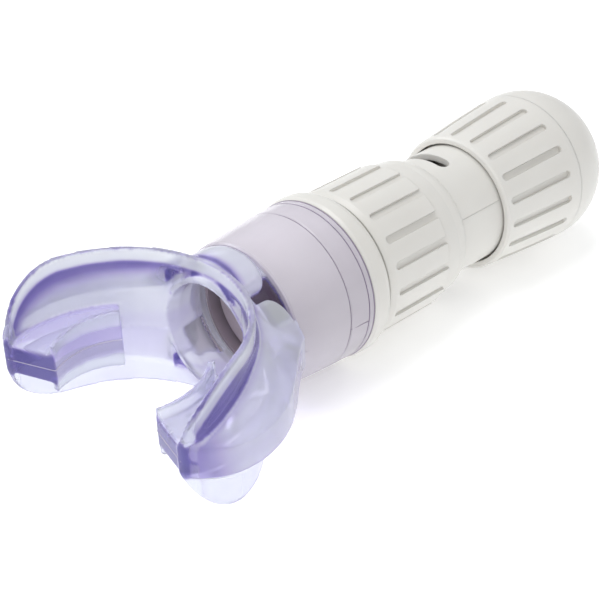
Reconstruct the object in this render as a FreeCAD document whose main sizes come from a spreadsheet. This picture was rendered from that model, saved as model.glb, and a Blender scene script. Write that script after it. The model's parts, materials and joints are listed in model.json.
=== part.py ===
import FreeCAD, Part
import math
import os
import Sketcher
from FreeCAD import Placement, Rotation, Vector

# Breathing trainer: a clear bite mouthpiece on a clear housing, a white valve body and barrel,
# a ribbed control ring for breathing out and a ribbed end knob for breathing in.
# All x sizes run along the body axis from the tips of the mouthpiece's arms.

doc = FreeCAD.newDocument("breathing_trainer")
sheet = doc.addObject("Spreadsheet::Sheet", "Sizes")

SIZES = {
    # whole object
    "total_length": 184.2,
    "running_gap": 0.04,
    "face_gap": 0.05,
    "open_gap": 0.3,
    # mouthpiece
    "shield_centre_x": 8.1,
    "shield_bend": 34.4,
    "tip_bend": 14.9,
    "shield_wall": 1.8,
    "rim_height": 20.0,
    "rim_run": 18.0,
    "rim_mid_x": 6.0,
    "rim_mid_height": 14.3,
    "slab_half": 4.0,
    "slab_turn": 47.0,
    "ridge_front_x": 4.4,
    "ridge_front_y": 18.1,
    "ridge_mid_x": 15.5,
    "ridge_mid_y": 19.7,
    "ridge_rear_x": 24.0,
    "ridge_rear_y": 15.6,
    "ridge_front_half": 6.6,
    "ridge_rear_half": 8.2,
    "ridge_wall": 1.8,
    "bite_pitch": 3.6,
    "pitch_x": 45.0,
    "trunk_end_x": 51.5,
    "trunk_end_side": 22.2,
    "trunk_end_top": 18.9,
    "wing_side": 41.2,
    "wing_x": 16.0,
    "web_height": 15.5,
    "cavity_half_width": 13.4,
    "cavity_half_height": 15.0,
    "cavity_x": 40.0,
    "lumen_r": 14.0,
    "lumen_throat_x": 42.0,
    "lumen_end_r": 16.8,
    "recess_r": 16.6,
    "recess_start_x": 43.0,
    "recess_end_x": 51.3,
    "recess_low": 22.0,
    "recess_high": 60.0,
    "neck_start_x": 38.0,
    "neck_end_x": 54.0,
    "neck_seal_x": 51.9,
    "neck_seal_width": 1.4,
    "neck_seal_floor": 17.75,
    # clear housing
    "housing_x": 50.0,
    "housing_front_r": 20.3,
    "housing_socket_r": 18.7,
    "housing_mid_x": 58.6,
    "housing_mid_r": 21.05,
    "housing_line_x": 67.9,
    "housing_line_r": 21.6,
    "housing_line_depth": 0.3,
    "housing_line_half": 0.5,
    "housing_rim_x": 74.4,
    "housing_rear_r": 21.9,
    "housing_seal_x": 70.0,
    "housing_seal_width": 1.6,
    "housing_seal_floor": 17.85,
    # valve body
    "spigot_x": 54.3,
    "lip_r": 16.6,
    "body_bore_r": 17.04,
    "seat_x": 60.0,
    "collar_x": 76.3,
    "collar_end_x": 83.4,
    "collar_r": 22.5,
    "collar_end_r": 21.0,
    "collar_front_r": 22.0,
    "collar_flat_x": 77.4,
    "collar_turn_x": 80.2,
    # valve seat
    "seat_thick": 3.0,
    "seat_ring_height": 1.35,
    "seat_ring_r": 10.6,
    "seat_ring_wall": 1.6,
    "port_r": 8.8,
    "hub_r": 4.2,
    "boss_r": 10.15,
    "boss_length": 3.0,
    "exhale_port_in": 13.0,
    "exhale_port_out": 15.6,
    "stem_r": 2.0,
    # inhale valve
    "inhale_disc_r": 15.0,
    "inhale_disc_thick": 1.4,
    "inhale_seal_thick": 0.75,
    "inhale_seal_r": 13.2,
    "stem_head_r": 3.4,
    "stem_head_thick": 0.7,
    "stem_end_x": 158.0,
    # guide tube and stem guide
    "guide_r": 11.2,
    "guide_wall": 1.0,
    "guide_end_x": 112.0,
    "stem_guide_thick": 3.0,
    # exhale valve
    "exhale_seal_thick": 1.05,
    "exhale_plate_thick": 1.4,
    "exhale_plate_r": 16.3,
    "exhale_hub_r": 12.6,
    "exhale_hub_length": 6.0,
    "exhale_spring_r": 13.9,
    "exhale_wire": 1.1,
    "exhale_turns": 6.0,
    "carrier_x": 100.0,
    "carrier_thick": 4.0,
    "carrier_rail_r": 13.2,
    "carrier_travel": 8.0,
    "lug_r": 1.4,
    "lug_reach": 18.4,
    # barrel
    "barrel_x": 72.0,
    "barrel_end_x": 150.0,
    "barrel_r": 17.0,
    "barrel_bore_r": 15.2,
    "lug_slot_gap": 0.15,
    "vent_x": 122.7,
    "vent_width": 4.0,
    "vent_start": 40.0,
    "vent_end": 104.0,
    "seal_groove_floor": 16.0,
    "seal_groove_width": 1.6,
    "clip_floor": 16.1,
    "clip_width": 1.2,
    # control ring
    "ring_x": 84.1,
    "ring_end_x": 117.3,
    "ring_r": 20.8,
    "ring_front_r": 20.2,
    "ring_bevel_x": 86.0,
    "ring_base_r": 20.0,
    "ring_rib_start_x": 86.9,
    "ring_shoulder_x": 106.8,
    "ring_waist_x": 112.5,
    "ring_waist_r": 19.5,
    "ring_tail_r": 17.5,
    "rib_count": 18.0,
    "rib_gap_width": 2.0,
    "rib_gap_depth": 0.9,
    "rib_phase": 10.0,
    "ring_seal_x": 88.5,
    "ring_clip_x": 111.0,
    "ring_clip_reach": 18.0,
    "cam_turn": 300.0,
    "cam_depth": 1.6,
    "cam_slack": 0.15,
    # end knob
    "knob_x": 133.6,
    "knob_front_r": 19.4,
    "knob_mid_x": 148.0,
    "knob_mid_r": 20.75,
    "knob_joint_x": 163.0,
    "knob_r": 21.8,
    "knob_mouth_r": 17.6,
    "knob_mouth_end_x": 138.0,
    "knob_seal_x": 141.5,
    "knob_clip_x": 146.6,
    "knob_clip_reach": 18.4,
    "knob_socket_x": 151.5,
    "knob_socket_r": 18.6,
    "knob_rib_start_x": 135.6,
    "knob_rib_end_x": 159.0,
    "dome_shoulder_r": 18.0,
    "dome_nose_r": 26.0,
    "dome_wall": 2.2,
    "cap_spigot_wall": 1.75,
    "bulkhead_thick": 3.2,
    "bulkhead_hole_r": 3.0,
    "sleeve_x": 134.6,
    "sleeve_bore_r": 8.6,
    "sleeve_r": 12.6,
    "sleeve_slot": 4.4,
    # inhale spring, its cap and the adjusting nut
    "inhale_spring_r": 4.6,
    "inhale_wire": 0.9,
    "inhale_turns": 8.0,
    "inhale_cap_x": 146.0,
    "inhale_cap_thick": 3.0,
    "inhale_cap_r": 7.0,
    "inhale_cap_sleeve_r": 3.6,
    "inhale_cap_sleeve": 5.0,
    "nut_thick": 6.0,
    "nut_r": 7.5,
    "nut_lug_width": 4.0,
    "nut_lug_reach": 12.2,
}

for row, (name, value) in enumerate(SIZES.items(), start=1):
    sheet.set("A%d" % row, name)
    sheet.set("B%d" % row, repr(value))
    sheet.setAlias("B%d" % row, name)
doc.recompute()


nodes = []
bends_per_turn = 16


def cell(text):
    """The same expression with each size written as a reference to its cell in the sheet."""
    out, word = [], ""
    for letter in text + " ":
        if letter.isalnum() or letter == "_":
            word += letter
            continue
        out.append("<<Sizes>>." + word if word in SIZES else word)
        out.append(letter)
        word = ""
    return "".join(out).strip()


def value(text):
    """The plain number that an expression of sizes gives."""
    result = sheet.evalExpression(cell(text))
    return float(getattr(result, "Value", result))


def origin_item(body, role):
    """The origin plane or axis of a body with this role."""
    return [item for item in body.Origin.OriginFeatures if item.Role == role][0]


def new_body(label):
    """A body whose X axis is the trainer's axis, standing at its height above the table."""
    body = doc.addObject("PartDesign::Body", label)
    body.Label = label
    body.setExpression("Placement.Base.x", cell("-total_length / 2"))
    body.setExpression("Placement.Base.z", cell("collar_r"))
    nodes.append(body)
    return body


def bind(sketch, constraint, text):
    """Add a constraint and bind its value to an expression of sizes."""
    index = sketch.addConstraint(constraint)
    name = "bound%d" % index
    sketch.renameConstraint(index, name)
    sketch.setExpression("Constraints." + name, cell(text))


def fix_point(sketch, edge, end, across, along):
    """Hold one end of an edge at two coordinates, each an expression of sizes."""
    if abs(value(across)) < 1e-9:
        sketch.addConstraint(Sketcher.Constraint("PointOnObject", edge, end, -2))
    else:
        bind(sketch, Sketcher.Constraint("DistanceX", -1, 1, edge, end, value(across)), across)
    if abs(value(along)) < 1e-9:
        sketch.addConstraint(Sketcher.Constraint("PointOnObject", edge, end, -1))
    else:
        bind(sketch, Sketcher.Constraint("DistanceY", -1, 1, edge, end, value(along)), along)


def draw(body, role, outline, offset=None, turn=None, pivot="0"):
    """A closed outline on an origin plane. A corner is a pair of expressions. A triple that
    starts with "via" is a point that the arc between its two neighbours passes through."""
    sketch = body.newObject("Sketcher::SketchObject", body.Label + "_outline")
    sketch.AttachmentSupport = [(origin_item(body, role), "")]
    sketch.MapMode = "FlatFace"
    if turn:
        axis, angle = turn
        sketch.AttachmentOffset = Placement(Vector(), Rotation(axis, value(angle)))
        sketch.setExpression("AttachmentOffset.Rotation.Angle", cell(angle))
        sketch.setExpression("AttachmentOffset.Base.x", cell("(%s) * (1 - cos(%s))" % (pivot, angle)))
        if axis.z:
            sketch.setExpression("AttachmentOffset.Base.y", cell("(%s) * sin(%s)" % (pivot, angle)))
        if axis.y:
            sketch.setExpression("AttachmentOffset.Base.z",
                                 cell("%s + (%s) * sin(%s)" % (offset, pivot, angle)))
    if offset and not (turn and turn[0].y):
        sketch.setExpression("AttachmentOffset.Base.z", cell(offset))
    place = {}
    for index, point in enumerate(outline):
        u, v = point[-2:]
        place[index] = Vector(value(u), value(v), 0)
    corners = [index for index, point in enumerate(outline) if point[0] != "via"]
    edges = []
    for number, first in enumerate(corners):
        last = corners[(number + 1) % len(corners)]
        if last != (first + 1) % len(outline):
            bend = first + 1
            arc = Part.Arc(place[first], place[bend], place[last])
            edge = sketch.addGeometry(arc, False)
            start = sketch.getPoint(edge, 1)
            forward = (start - place[first]).Length < 1e-6
            edges.append((edge, 1 if forward else 2, 2 if forward else 1, first, bend))
        else:
            edge = sketch.addGeometry(Part.LineSegment(place[first], place[last]), False)
            edges.append((edge, 1, 2, first, None))
    for number, (edge, start, end, first, bend) in enumerate(edges):
        after, after_start = edges[(number + 1) % len(edges)][:2]
        sketch.addConstraint(Sketcher.Constraint("Coincident", edge, end, after, after_start))
        fix_point(sketch, edge, start, *outline[first])
    for edge, start, end, first, bend in edges:
        if bend is not None:
            point = sketch.addGeometry(Part.Point(place[bend]), True)
            fix_point(sketch, point, 1, *outline[bend][1:])
            sketch.addConstraint(Sketcher.Constraint("PointOnObject", point, 1, edge))
    return sketch


def grow(body, kind, sketch, **settings):
    """Add a feature made from a sketch and check that it changes the solid."""
    doc.recompute()
    before = body.Shape.Volume if not body.Shape.isNull() else 0.0
    feature = body.newObject("PartDesign::" + kind, body.Label + "_" + kind.lower())
    feature.Profile = sketch
    for name, setting in settings.items():
        if isinstance(setting, str) and name in ("Length", "Angle", "Pitch", "Height"):
            feature.setExpression(name, cell(setting))
        else:
            setattr(feature, name, setting)
    doc.recompute()
    removing = kind in ("Pocket", "Groove", "SubtractiveHelix")
    change = body.Shape.Volume - before
    if (change >= -1e-6) if removing else (change <= 1e-6):
        raise RuntimeError("%s %s changes nothing" % (body.Label, kind))
    return feature


def turned(body, outline, kind="Revolution"):
    """A solid or a groove of revolution about the body's axis, from (x, radius) corners."""
    sketch = draw(body, "XZ_Plane", outline)
    return grow(body, kind, sketch, ReferenceAxis=(sketch, ["H_Axis"]), Angle=360.0)


def ringed(body, x0, x1, r0, r1, kind="Revolution"):
    """A plain ring between two x places and two radii."""
    return turned(body, [(x0, r0), (x1, r0), (x1, r1), (x0, r1)], kind)


def repeat(body, feature, count, angle=360.0):
    """Copy a feature about the trainer's axis."""
    pattern = body.newObject("PartDesign::PolarPattern", body.Label + "_pattern")
    pattern.Originals = [feature]
    pattern.Axis = (origin_item(body, "X_Axis"), [""])
    pattern.Angle = angle
    if isinstance(count, str):
        pattern.setExpression("Occurrences", cell(count))
    else:
        pattern.Occurrences = count
    body.Tip = pattern
    doc.recompute()
    return pattern


def sector(r_in, r_out, low, high):
    """Outline of part of a ring between two angles, on the plane across the axis."""
    def at(radius, angle):
        return ("(%s) * cos(%s)" % (radius, angle), "(%s) * sin(%s)" % (radius, angle))
    middle = "((%s) + (%s)) / 2" % (low, high)
    return [at(r_in, low), at(r_out, low), ("via",) + at(r_out, middle), at(r_out, high),
            at(r_in, high), ("via",) + at(r_in, middle)]


def ports(body, x0, x1, r_in, r_out, spoke, count):
    """Kidney-shaped ports round the axis, with a spoke of the given angle between them."""
    sketch = draw(body, "YZ_Plane", sector(r_in, r_out, "(%s) / 2" % spoke,
                  "360 / %d - (%s) / 2" % (count, spoke)), offset=x0)
    pocket = grow(body, "Pocket", sketch, Length="(%s) - (%s)" % (x1, x0), Reversed=True)
    return repeat(body, pocket, count)


def spring(label, x0, x1, middle_r, wire, turns):
    """A compression spring along the axis: a wire bent round in short straight lengths, skinned
    between its six-sided sections."""
    wire_r = value(wire) / 2
    start, end = value(x0) + wire_r, value(x1) - wire_r
    radius, count = value(middle_r), value(turns)
    steps = int(count * bends_per_turn)
    rings = []
    for step in range(steps + 1):
        turn = 2 * math.pi * step / bends_per_turn
        along = (end - start) * step / steps
        rings.append([Vector((radius + wire_r * math.cos(side * math.pi / 3)) * math.cos(turn),
                             (radius + wire_r * math.cos(side * math.pi / 3)) * math.sin(turn),
                             along + wire_r * math.sin(side * math.pi / 3)) for side in range(6)])
    faces = [Part.Face(Part.makePolygon(ring + ring[:1])) for ring in (rings[0], rings[-1])]
    for near, far in zip(rings, rings[1:]):
        for side in range(6):
            a, b = near[side], near[(side + 1) % 6]
            c, d = far[(side + 1) % 6], far[side]
            faces.append(Part.Face(Part.makePolygon([a, b, c, a])))
            faces.append(Part.Face(Part.makePolygon([a, c, d, a])))
    coil = Part.Solid(Part.Shell(faces))
    if coil.Volume < 0:
        coil.reverse()
    feature = doc.addObject("Part::Feature", label)
    feature.Label = label
    feature.Shape = coil
    place = Vector(start - value("total_length") / 2, 0, value("collar_r"))
    feature.Placement = Placement(place, Rotation(Vector(0, 1, 0), 90))
    nodes.append(feature)
    return feature


def o_ring(label, x0, width, floor, reach):
    """A seal ring lying in a groove, narrowed on the outside, that just meets the bore round it."""
    body = new_body(label)
    gap = "face_gap"
    shoulder = "%s - (%s) / 3" % (reach, width)
    turned(body, [("%s + %s" % (x0, gap), "%s + %s" % (floor, gap)),
                  ("%s + %s - %s" % (x0, width, gap), "%s + %s" % (floor, gap)),
                  ("%s + %s - %s" % (x0, width, gap), shoulder),
                  ("%s + (%s) * 0.65" % (x0, width), reach), ("%s + (%s) * 0.35" % (x0, width), reach),
                  ("%s + %s" % (x0, gap), shoulder)])
    return body


# Mouthpiece. One quarter of the bite part is built and mirrored: the trunk is lofted out to the
# wings, the mouth side is hollowed, and the thin shield, the slab and the bite ridge are added.

def mouthpiece():
    body = new_body("mouthpiece")
    tip_centre = "(shield_bend - tip_bend)"

    def shield_arc(inset, reverse=False):
        """Corners from the tip's end at x = 0 round to the middle of the shield."""
        main, tip = "(shield_bend - (%s))" % inset, "(tip_bend - (%s))" % inset
        half = "(asin(shield_centre_x / %s) / 2)" % tip
        end = ("0", "%s + sqrt(%s ^ 2 - shield_centre_x ^ 2)" % (tip_centre, tip))
        bend = ("via", "shield_centre_x - %s * sin(%s)" % (tip, half),
                "%s + %s * cos(%s)" % (tip_centre, tip, half))
        top = ("shield_centre_x", main)
        side = ("via", "shield_centre_x + %s * cos(45)" % main, "%s * sin(45)" % main)
        nose = ("shield_centre_x + " + main, "0")
        corners = [end, bend, top, side, nose]
        return corners[::-1] if reverse else corners

    def wing(x, side, corner_y, corner_z, bend_y, bend_z, top):
        outline = [("0", "0"), (side, "0"), (side, "slab_half"), ("via", bend_y, bend_z),
                   (corner_y, corner_z), ("via", "(%s) * 0.55" % corner_y,
                   "(%s) + ((%s) - (%s)) * 0.72" % (corner_z, top, corner_z)), ("0", top)]
        return draw(body, "YZ_Plane", outline, offset=x)

    tip_y = "(%s + sqrt(tip_bend ^ 2 - shield_centre_x ^ 2))" % tip_centre
    sections = [
        wing("0", tip_y, tip_y + " - 1.4", "slab_half + 0.4", tip_y + " - 0.6", "slab_half + 0.1",
             "slab_half + 0.8"),
        wing("wing_x / 2", "wing_side - 1.5", "shield_bend - 0.8", "web_height * 0.6",
             "shield_bend + 1.8", "web_height * 0.39", "web_height * 0.66"),
        wing("wing_x", "wing_side", "shield_bend - 1.4", "web_height * 0.83", "shield_bend + 1.6",
             "web_height * 0.51", "web_height * 0.89"),
        wing("wing_x + 11", "wing_side - 2.6", "shield_bend - 6.2", "web_height",
             "shield_bend - 1.9", "web_height * 0.63", "web_height * 1.06"),
        wing("neck_start_x", "wing_side - 9.8", "shield_bend - 17.8", "web_height",
             "shield_bend - 10.9", "web_height * 0.67", "trunk_end_top - 0.6"),
        wing("trunk_end_x", "trunk_end_side", "trunk_end_top * cos(45)", "trunk_end_top * sin(45)",
             "trunk_end_side * 0.86", "trunk_end_side * 0.42", "trunk_end_top"),
    ]
    grow(body, "AdditiveLoft", sections[0], Sections=sections[1:])

    high = "rim_height + 2"
    cavity = draw(body, "XY_Plane", [("0", "0")] + shield_arc("shield_wall"))
    grow(body, "Pocket", cavity, Length=high, Reversed=True)
    shield = draw(body, "XY_Plane", shield_arc("0") + shield_arc("shield_wall", reverse=True))
    grow(body, "Pad", shield, Length="rim_height")
    corner = draw(body, "XZ_Plane", [("0", "slab_half"), ("0", high), ("rim_run", high),
                  ("rim_run", "rim_height"), ("via", "rim_mid_x", "rim_mid_height")])
    grow(body, "Pocket", corner, Length="wing_side * 2", SideType="Symmetric")

    middle = "shield_wall / 2"
    reach = "(shield_bend - %s)" % middle
    inner = [("ridge_front_x", "ridge_front_y"), ("via", "ridge_mid_x", "ridge_mid_y"),
             ("ridge_rear_x", "ridge_rear_y")]
    outer = [("ridge_rear_x + ridge_wall * 0.75", "ridge_rear_y + ridge_wall * 0.7"),
             ("via", "ridge_mid_x + ridge_wall * 0.15", "ridge_mid_y + ridge_wall"),
             ("ridge_front_x", "ridge_front_y + ridge_wall")]
    wall = shield_arc(middle)[:3]
    slab = draw(body, "XY_Plane", [wall[0]] + inner + [
        ("shield_centre_x + %s * cos(slab_turn)" % reach, "%s * sin(slab_turn)" % reach),
        ("via", "shield_centre_x + %s * cos((90 + slab_turn) / 2)" % reach,
         "%s * sin((90 + slab_turn) / 2)" % reach), wall[2], wall[1]])
    grow(body, "Pad", slab, Length="slab_half")
    ridge = draw(body, "XY_Plane", inner + outer)
    grow(body, "Pad", ridge, Length="ridge_rear_half")
    over = draw(body, "XZ_Plane", [("ridge_front_x - 1", "ridge_front_half"),
                ("ridge_rear_x", "ridge_rear_half"), ("ridge_rear_x", "ridge_rear_half + 1"),
                ("ridge_front_x - 1", "ridge_rear_half + 1")])
    grow(body, "Pocket", over, Length="ridge_mid_y + ridge_wall + 1")
    nook = draw(body, "YZ_Plane", [("0", "0"), ("cavity_half_width", "0"),
                ("cavity_half_width", "cavity_half_height"), ("0", "cavity_half_height")],
                offset="neck_start_x - 8")
    grow(body, "Pocket", nook, Length="cavity_x - neck_start_x + 8", Reversed=True)
    for role in ("XY_Plane", "XZ_Plane"):
        mirror = body.newObject("PartDesign::Mirrored", "mouthpiece_mirror")
        mirror.TransformMode = "Whole shape"
        mirror.MirrorPlane = (origin_item(body, role), [""])
        body.Tip = mirror
        doc.recompute()

    # The neck lies on the trainer's axis, while the bite part droops by the pitch.
    level = (Vector(0, 0, -1), "bite_pitch")
    neck_r = "housing_socket_r - running_gap"
    trim = draw(body, "XZ_Plane", [("housing_x - open_gap", "lumen_r"), ("housing_x + 8", "lumen_r"),
                ("housing_x + 8", "wing_side"), ("housing_x - open_gap", "wing_side")],
                turn=level, pivot="pitch_x")
    grow(body, "Groove", trim, ReferenceAxis=(trim, ["H_Axis"]), Angle=360.0)
    neck = draw(body, "XZ_Plane", [("neck_start_x", "lumen_r - 4"), ("neck_end_x", "lumen_r - 4"),
                ("neck_end_x", neck_r), ("neck_start_x + 5", neck_r),
                ("neck_start_x", "lumen_r + 1")], turn=level, pivot="pitch_x")
    grow(body, "Revolution", neck, ReferenceAxis=(neck, ["H_Axis"]), Angle=360.0)
    for number, start in enumerate(("recess_low", "180 - recess_high")):
        recess = draw(body, "YZ_Plane", sector("recess_r", "trunk_end_side * 1.4", start,
                      "(%s) + recess_high - recess_low" % start), offset="recess_start_x")
        cut = grow(body, "Pocket", recess, Length="recess_end_x - recess_start_x", Reversed=True)
        repeat(body, cut, 2)
    seal = draw(body, "XZ_Plane", [("neck_seal_x", "neck_seal_floor"),
                ("neck_seal_x + neck_seal_width", "neck_seal_floor"),
                ("neck_seal_x + neck_seal_width", "housing_socket_r + 1"),
                ("neck_seal_x", "housing_socket_r + 1")], turn=level, pivot="pitch_x")
    grow(body, "Groove", seal, ReferenceAxis=(seal, ["H_Axis"]), Angle=360.0)
    lumen = draw(body, "XZ_Plane", [("neck_start_x - 8", "0"), ("neck_end_x + 1", "0"),
                 ("neck_end_x + 1", "lumen_end_r"), ("neck_end_x - 1", "lumen_end_r"),
                 ("lumen_throat_x", "lumen_r"), ("neck_start_x - 8", "lumen_r")],
                 turn=level, pivot="pitch_x")
    grow(body, "Groove", lumen, ReferenceAxis=(lumen, ["H_Axis"]), Angle=360.0)
    tilt(body)
    return body


def tilt(body):
    """Let the bite part droop about the trainer's side axis, at the neck."""
    body.Placement = Placement(Vector(), Rotation(Vector(0, -1, 0), value("bite_pitch")))
    body.setExpression("Placement.Rotation.Angle", cell("bite_pitch"))
    body.setExpression("Placement.Base.x",
                       cell("pitch_x - total_length / 2 - pitch_x * cos(bite_pitch)"))
    body.setExpression("Placement.Base.z", cell("collar_r - pitch_x * sin(bite_pitch)"))


# Clear housing and the valve body that it sleeves over.

def front_housing():
    body = new_body("front_housing")
    rear = "collar_x - face_gap"
    line, half = "housing_line_x", "housing_line_half"
    rim, rim_half = "housing_rim_x", "housing_line_half * 0.7"
    turned(body, [
        ("housing_x", "housing_socket_r"), (rear, "housing_socket_r"), (rear, "housing_rear_r"),
        (rim + " + " + rim_half, "housing_rear_r"), (rim, "housing_rear_r - housing_line_depth"),
        (rim + " - " + rim_half, "housing_rear_r - 0.1"), (line + " + " + half, "housing_line_r"),
        (line, "housing_line_r - housing_line_depth"), (line + " - " + half, "housing_line_r"),
        ("housing_mid_x", "housing_mid_r"), ("housing_x + 0.5", "housing_front_r"),
        ("housing_x", "housing_front_r - 0.5")])
    return body


def valve_body():
    body = new_body("valve_body")
    spigot_r = "housing_socket_r - running_gap"
    seal_end = "housing_seal_x + housing_seal_width"
    turned(body, [
        ("spigot_x", "lip_r"), ("seat_x", "lip_r"), ("seat_x", "body_bore_r"),
        ("collar_end_x", "body_bore_r"), ("collar_end_x", "collar_end_r - 0.7"),
        ("collar_end_x - 0.5", "collar_end_r"),
        ("via", "(collar_turn_x + collar_end_x) / 2", "(collar_r + collar_end_r) / 2 + 0.2"),
        ("collar_turn_x", "collar_r"), ("collar_flat_x", "collar_r"), ("collar_x", "collar_front_r"),
        ("collar_x", spigot_r), (seal_end, spigot_r), (seal_end, "housing_seal_floor"),
        ("housing_seal_x", "housing_seal_floor"), ("housing_seal_x", spigot_r),
        ("spigot_x + 0.4", spigot_r), ("spigot_x", "housing_socket_r - 0.5")])
    return body


def valve_seat():
    body = new_body("valve_seat")
    rear = "seat_x + seat_thick"
    front = "seat_x - seat_ring_height"
    bore = "stem_r + running_gap"
    turned(body, [
        ("seat_x - 1", bore), (rear + " + boss_length", bore), (rear + " + boss_length", "hub_r"),
        (rear, "hub_r"), (rear, "boss_r - 1.15"), (rear + " + boss_length", "boss_r - 1.15"),
        (rear + " + boss_length", "boss_r"), (rear, "boss_r"),
        (rear, "body_bore_r - running_gap"), ("seat_x + face_gap", "body_bore_r - running_gap"),
        ("seat_x + face_gap", "seat_ring_r + seat_ring_wall"),
        (front, "seat_ring_r + seat_ring_wall - 0.4"), (front, "seat_ring_r + 0.4"),
        ("seat_x + face_gap", "seat_ring_r"), ("seat_x + face_gap", "hub_r"),
        ("seat_x - 1", "hub_r - 0.8")])
    ports(body, "seat_x - 0.5", rear + " + 0.5", "hub_r", "port_r", "24", 3)
    ports(body, "seat_x - 0.5", rear + " + 0.5", "exhale_port_in", "exhale_port_out", "10", 8)
    return body


def guide_tube():
    body = new_body("guide_tube")
    ringed(body, "seat_x + seat_thick + face_gap", "guide_end_x", "guide_r - guide_wall", "guide_r")
    return body


def stem_guide():
    body = new_body("stem_guide")
    front = "guide_end_x + face_gap"
    rear = front + " + stem_guide_thick"
    bore = "stem_r + running_gap"
    turned(body, [
        (front + " - boss_length", bore), (rear, bore), (rear, "barrel_bore_r - running_gap"),
        (front, "barrel_bore_r - running_gap"), (front, "boss_r"),
        (front + " - boss_length", "boss_r"), (front + " - boss_length", "boss_r - 1.15"),
        (front, "boss_r - 1.15"), (front, "hub_r"), (front + " - boss_length", "hub_r - 0.8")])
    ports(body, front + " - 0.5", rear + " + 0.5", "hub_r", "port_r", "24", 3)
    ports(body, front + " - 0.5", rear + " + 0.5", "guide_r + 0.4", "barrel_bore_r - 1", "16", 6)
    return body


# Valve that opens on breathing in: a disc on a long stem, pulled shut by the rear spring.

def inhale_valve_disc():
    body = new_body("inhale_valve_disc")
    rear = "seat_x - seat_ring_height - face_gap - inhale_seal_thick"
    front = rear + " - inhale_disc_thick"
    bore = "stem_r + running_gap"
    turned(body, [
        (front, bore), (rear + " + 0.9", bore), (rear + " + 0.9", "hub_r - 0.8"),
        (rear, "hub_r - 0.8"), (rear, "inhale_disc_r"), (front + " + 0.5", "inhale_disc_r"),
        (front, "inhale_disc_r - 0.5")])
    return body


def inhale_valve_seal():
    body = new_body("inhale_valve_seal")
    rear = "seat_x - seat_ring_height - face_gap"
    ringed(body, rear + " - inhale_seal_thick + 0.02", rear, "seat_ring_r - 1.4", "inhale_seal_r")
    return body


def inhale_stem():
    body = new_body("inhale_stem")
    front = "seat_x - seat_ring_height - face_gap - inhale_seal_thick - inhale_disc_thick - 0.02"
    turned(body, [
        (front + " - stem_head_thick", "0"), ("stem_end_x", "0"), ("stem_end_x", "stem_r - 0.4"),
        ("stem_end_x - 0.4", "stem_r"), (front, "stem_r"), (front, "stem_head_r"),
        (front + " - stem_head_thick / 2", "stem_head_r"),
        (front + " - stem_head_thick", "stem_head_r * 0.7")])
    return body


def inhale_spring_cap():
    body = new_body("inhale_spring_cap")
    bore = "stem_r + running_gap"
    front, rear = "inhale_cap_x", "inhale_cap_x + inhale_cap_thick"
    turned(body, [
        (front + " - inhale_cap_sleeve", bore), (rear, bore), (rear, "inhale_cap_r - 0.6"),
        (rear + " - 0.6", "inhale_cap_r"), (front, "inhale_cap_r"),
        (front, "inhale_cap_sleeve_r"), (front + " - inhale_cap_sleeve", "inhale_cap_sleeve_r")])
    return body


def inhale_adjusting_nut():
    body = new_body("inhale_adjusting_nut")
    front = "inhale_cap_x + inhale_cap_thick + face_gap"
    rear = front + " + nut_thick"
    ringed(body, front, rear, "stem_r + running_gap", "nut_r")
    lug = draw(body, "XZ_Plane", [(front + " + 1", "nut_r - 2"), (rear + " - 1", "nut_r - 2"),
               (rear + " - 1", "nut_lug_reach"), (front + " + 1", "nut_lug_reach")])
    pad = grow(body, "Pad", lug, Length="nut_lug_width", SideType="Symmetric")
    repeat(body, pad, 2)
    return body


# Valve that opens on breathing out: a plate round the guide tube, pushed shut by the wide spring.

def exhale_valve_seal():
    body = new_body("exhale_valve_seal")
    front = "seat_x + seat_thick + face_gap"
    ringed(body, front, front + " + exhale_seal_thick", "exhale_port_in - 0.6",
           "exhale_port_out + 0.6")
    return body


def exhale_valve_plate():
    body = new_body("exhale_valve_plate")
    front = "seat_x + seat_thick + face_gap + exhale_seal_thick + 0.02"
    rear = front + " + exhale_plate_thick"
    bore = "guide_r + running_gap"
    turned(body, [
        (front, bore), (front + " + exhale_hub_length", bore),
        (front + " + exhale_hub_length", "exhale_hub_r"), (rear, "exhale_hub_r"),
        (rear, "exhale_plate_r"), (front, "exhale_plate_r")])
    return body


def exhale_spring_carrier():
    body = new_body("exhale_spring_carrier")
    middle = "carrier_x + carrier_thick / 2"
    ringed(body, "carrier_x", "carrier_x + carrier_thick", "guide_r + running_gap",
           "barrel_bore_r - 0.1")
    ports(body, "carrier_x - 0.5", "carrier_x + carrier_thick + 0.5", "guide_r - 0.5",
          "carrier_rail_r", "24", 4)
    lug = draw(body, "XY_Plane", circle(middle, "0", "lug_r"), offset="carrier_rail_r + 0.4")
    pad = grow(body, "Pad", lug, Length="lug_reach - carrier_rail_r - 0.4")
    repeat(body, pad, 2)
    return body


# Barrel with its vents, the slots for the carrier's lugs and the grooves for seals and clips.

def circle(x, y, radius):
    """Outline of a round hole or pin as two arcs."""
    return [("(%s) - (%s)" % (x, radius), y), ("via", x, "(%s) + (%s)" % (y, radius)),
            ("(%s) + (%s)" % (x, radius), y), ("via", x, "(%s) - (%s)" % (y, radius))]


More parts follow.
